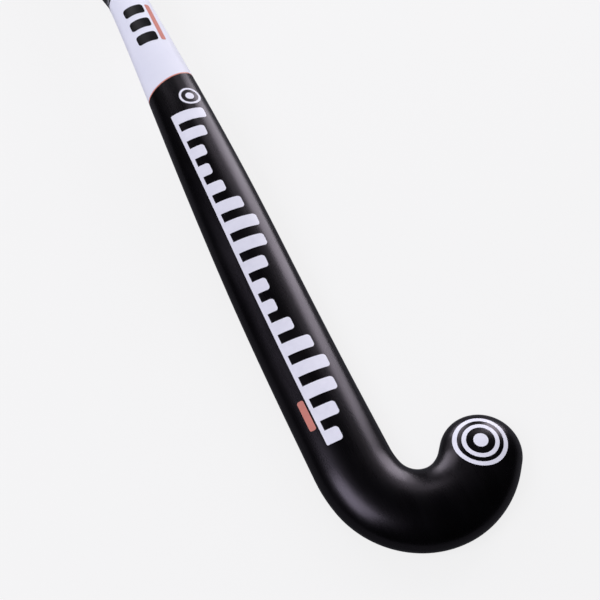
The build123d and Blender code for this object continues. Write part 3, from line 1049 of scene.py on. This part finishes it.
@dataclass
class Butt:
    """Moulded cap that closes the handle, with its spigot, edge radius and two shallow end grooves."""

    radius: float = 15.8 * MM
    rounding: float = 1.5 * MM
    spigot_radius: float = 10.85 * MM
    spigot_length: float = 12.0 * MM
    groove_radii: tuple = (6.0 * MM, 11.0 * MM)
    groove_width: float = 0.8 * MM
    groove_depth: float = 0.35 * MM
    corner_steps: int = 6
    turn_steps: int = 96
    rubber: Moulding = Moulding(
        "cap_rubber_moulding", (0.014, 0.014, 0.015), (0.035, 0.035, 0.037), 0.5 * MM, 0.03 * MM
    )

    def build(self) -> None:
        """Build the cap by spinning its half section."""
        mesh = bmesh.new()
        end, inner = FORM.butt_end, FORM.handle_end
        points = [(0.0, end)]
        for groove in self.groove_radii:
            half = self.groove_width / 2
            points += [(groove - half, end), (groove - half / 2, end - self.groove_depth)]
            points += [(groove + half / 2, end - self.groove_depth), (groove + half, end)]
        for i in range(self.corner_steps + 1):
            turn = radians(90.0 * i / self.corner_steps)
            side = self.radius - self.rounding * (1.0 - sin(turn))
            points.append((side, end - self.rounding * (1.0 - cos(turn))))
        points += [(self.radius, inner), (self.spigot_radius, inner)]
        points += [(self.spigot_radius, inner - self.spigot_length), (0.0, inner - self.spigot_length)]
        vertices = [mesh.verts.new((x, 0.0, s)) for x, s in points]
        profile = [mesh.edges.new(pair) for pair in zip(vertices, vertices[1:])]
        spin(mesh, profile, ORIGIN, FULL_TURN, self.turn_steps)
        Grip.bend(mesh)
        close_up(mesh)
        piece = make_piece(mesh, "moulded_butt_cap", self.rubber.build(), Slot.CAP_RUBBER)
        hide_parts("butt_cap")


@dataclass(frozen=True)
class Inside:
    """Finishes of the layers and fillings that the coats and the grip cover, with their CAD nodes."""

    finishes: tuple = (
        (Cloth("carbon_glass_laminate", (0.045, 0.045, 0.048), (0.01, 0.01, 0.011), Weave.BIAS), "laminate"),
        (Cloth("braided_tube_cloth", (0.055, 0.055, 0.058), (0.012, 0.012, 0.012), Weave.BIAS, 1.4 * MM),
         "toe_side_tube", "heel_side_tube"),
        (Cloth("web_glass_cloth", (0.42, 0.45, 0.36), (0.24, 0.26, 0.19), Weave.STRAIGHT, MM), "centre_web"),
        (Cloth("face_aramid_cloth", (0.62, 0.47, 0.10), (0.36, 0.25, 0.05), Weave.STRAIGHT, 1.2 * MM),
         "face_liner", "heel_liner"),
        (Foam("hook_foam", (0.72, 0.66, 0.48), (0.46, 0.38, 0.22), 0.9 * MM, 0.20 * MM), "head_core"),
        (Moulding("damper_rubber", (0.16, 0.17, 0.2), (0.26, 0.27, 0.3), 0.8 * MM, 0.05 * MM, 0.7), "damper"),
        (Foam("plug_foam", (0.70, 0.63, 0.44), (0.44, 0.36, 0.20), 0.7 * MM, 0.15 * MM), "handle_plug"),
        (Foam("grip_cushion_foam", (0.045, 0.045, 0.048), (0.012, 0.012, 0.013), 0.5 * MM, 0.10 * MM),
         "under_grip"),
    )

    def dress(self) -> None:
        """Put each finish on its CAD nodes."""
        for finish, *names in self.finishes:
            material = finish.build()
            for name in names:
                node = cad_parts[name]
                node.data.materials.clear()
                node.data.materials.append(material)
                log.info("%s: dressed with %s", name, material.name)


# ---------------- studio


def stand(name: str, data: object, spot: tuple, target: tuple, roll: float = 0.0) -> Piece:
    """Stand a lamp or camera so that it looks at a point.

    Args:
        name: the object's name.
        data: the lamp's or camera's data.
        spot: azimuth (0 at the hook's end, 90 at the toe's side), elevation and distance from the target.
        target: the point that it looks at.
        roll: its turn about the line of sight.

    Returns:
        The object.
    """
    thing = put(name, data)
    azimuth, elevation = radians(spot[0]), radians(spot[1])
    back = Vector((sin(azimuth) * cos(elevation), -cos(azimuth) * cos(elevation), sin(elevation)))
    thing.location = Vector(target) + back * spot[2]
    thing.rotation_mode = "QUATERNION"
    thing.rotation_quaternion = back.to_track_quat("Z", "Y") @ Quaternion(UP, radians(roll))
    return thing


@dataclass(frozen=True)
class SoftBox:
    """Rectangular lamp that looks at the stick from a spot of azimuth, elevation and distance."""

    name: str
    spot: tuple
    size: tuple
    power: float
    colour: Colour
    target: tuple = (0.02, 0.12, 0.0)

    def build(self) -> None:
        """Hang the lamp."""
        data = bpy.data.lights.new(self.name, "AREA")
        data.shape = "RECTANGLE"
        data.size, data.size_y = self.size
        data.energy, data.color = self.power, self.colour
        stand(self.name, data, self.spot, self.target)


@dataclass(frozen=True)
class Viewpoint:
    """Where the camera stands and how it looks at the stick."""

    target: tuple = (0.0192, 0.1137, 0.0)
    spot: tuple = (-24.22, 57.18, 0.5881)
    roll: float = 0.3
    lens: float = 57.38
    sensor: float = 36.0
    reach: tuple = (0.01, 50.0)

    def build(self) -> None:
        """Set up the camera."""
        data = bpy.data.cameras.new("camera")
        data.sensor_width, data.lens = self.sensor, self.lens
        data.clip_start, data.clip_end = self.reach
        bpy.context.scene.camera = stand("camera", data, self.spot, self.target, self.roll)


@dataclass
class Studio:
    """Pale floor, soft lamps, a dim even world and the camera."""

    floor_size: float = 12.0
    patches: float = 6.0
    patch_tone: float = 0.99
    shown: Colour = (0.912, 0.910, 0.912)
    shade_share: float = 0.10
    bounce: Colour = (0.72, 0.72, 0.74)
    mirrored: Colour = (0.17, 0.17, 0.18)
    world: Colour = (1.0, 1.0, 1.03)
    world_strength: float = 0.34
    mirrored_strength: float = 0.012
    lamps: tuple = (
        SoftBox("left", (-83.5, 50.0, 1.5), (0.76, 0.70), 10.8, (0.86, 0.85, 1.0)),
        SoftBox("right", (123.0, 21.0, 1.5), (0.66, 0.86), 12.2, (0.95, 0.92, 1.0)),
        SoftBox("high_right", (142.0, 46.0, 1.5), (0.50, 0.36), 0.8, (0.95, 0.92, 1.0)),
        SoftBox("back", (182.0, 14.0, 1.5), (0.92, 0.70), 9.0, (0.93, 0.91, 1.0)),
        SoftBox("high_back", (-172.0, 35.0, 1.5), (0.60, 0.46), 2.0, (0.93, 0.91, 1.0)),
    )
    viewpoint: Viewpoint = Viewpoint()

    def floor(self) -> None:
        """Lay the floor: the camera sees it pale, with part of the stick's shadow."""
        mesh = bmesh.new()
        bmesh.ops.create_grid(mesh, x_segments=4, y_segments=4, size=self.floor_size / 2)
        shade = paint("floor_paint")
        rays = shade.add("ShaderNodeLightPath").outputs
        spread = shade.span(shade.noise(shade.coordinates, self.patches), 0.3, 0.7, 0.0, 1.0)
        seen = shade.blend(spread, tuple(self.patch_tone * tone for tone in self.shown), self.shown)
        unseen = shade.blend(rays["Is Glossy Ray"], self.bounce, self.mirrored)
        colour = shade.blend(rays["Is Camera Ray"], unseen, seen)
        matte = shade.shader("ShaderNodeBsdfDiffuse", Color=colour)
        glow = shade.shader("ShaderNodeEmission", Color=self.shown)
        share = shade.math("MULTIPLY", rays["Is Camera Ray"], 1.0 - self.shade_share)
        shade.close("ShaderNodeOutputMaterial", share, matte, glow)
        plane = show(mesh, "floor", shade.owner)

    def light(self) -> None:
        """Hang the lamps and set the world: pale as the far floor to the camera, and dim as a light."""
        for lamp in self.lamps:
            lamp.build()
        shade = Shading(bpy.data.worlds.new("studio_air"))
        bpy.context.scene.world = shade.owner
        rays = shade.add("ShaderNodeLightPath").outputs
        strength = shade.span(rays["Is Glossy Ray"], 0.0, 1.0, self.world_strength, self.mirrored_strength)
        dim = shade.shader("ShaderNodeBackground", Color=self.world, Strength=strength)
        far_floor = 1.0 - self.shade_share * (1.0 - self.world_strength)
        seen = shade.shader("ShaderNodeBackground", Color=tuple(far_floor * tone for tone in self.shown))
        shade.close("ShaderNodeOutputWorld", rays["Is Camera Ray"], dim, seen)

    def build(self) -> None:
        """Set up the studio."""
        bpy.context.scene.view_settings.view_transform = "Standard"
        self.floor()
        self.light()
        self.viewpoint.build()


def main() -> None:
    """Build the stick's sub-assemblies in order, then the studio."""
    coats = Coats()
    coats.build()
    Marks(coats).build()
    Grip().build()
    Butt().build()
    Inside().dress()
    Studio().build()


if __name__ == "__main__":
    main()
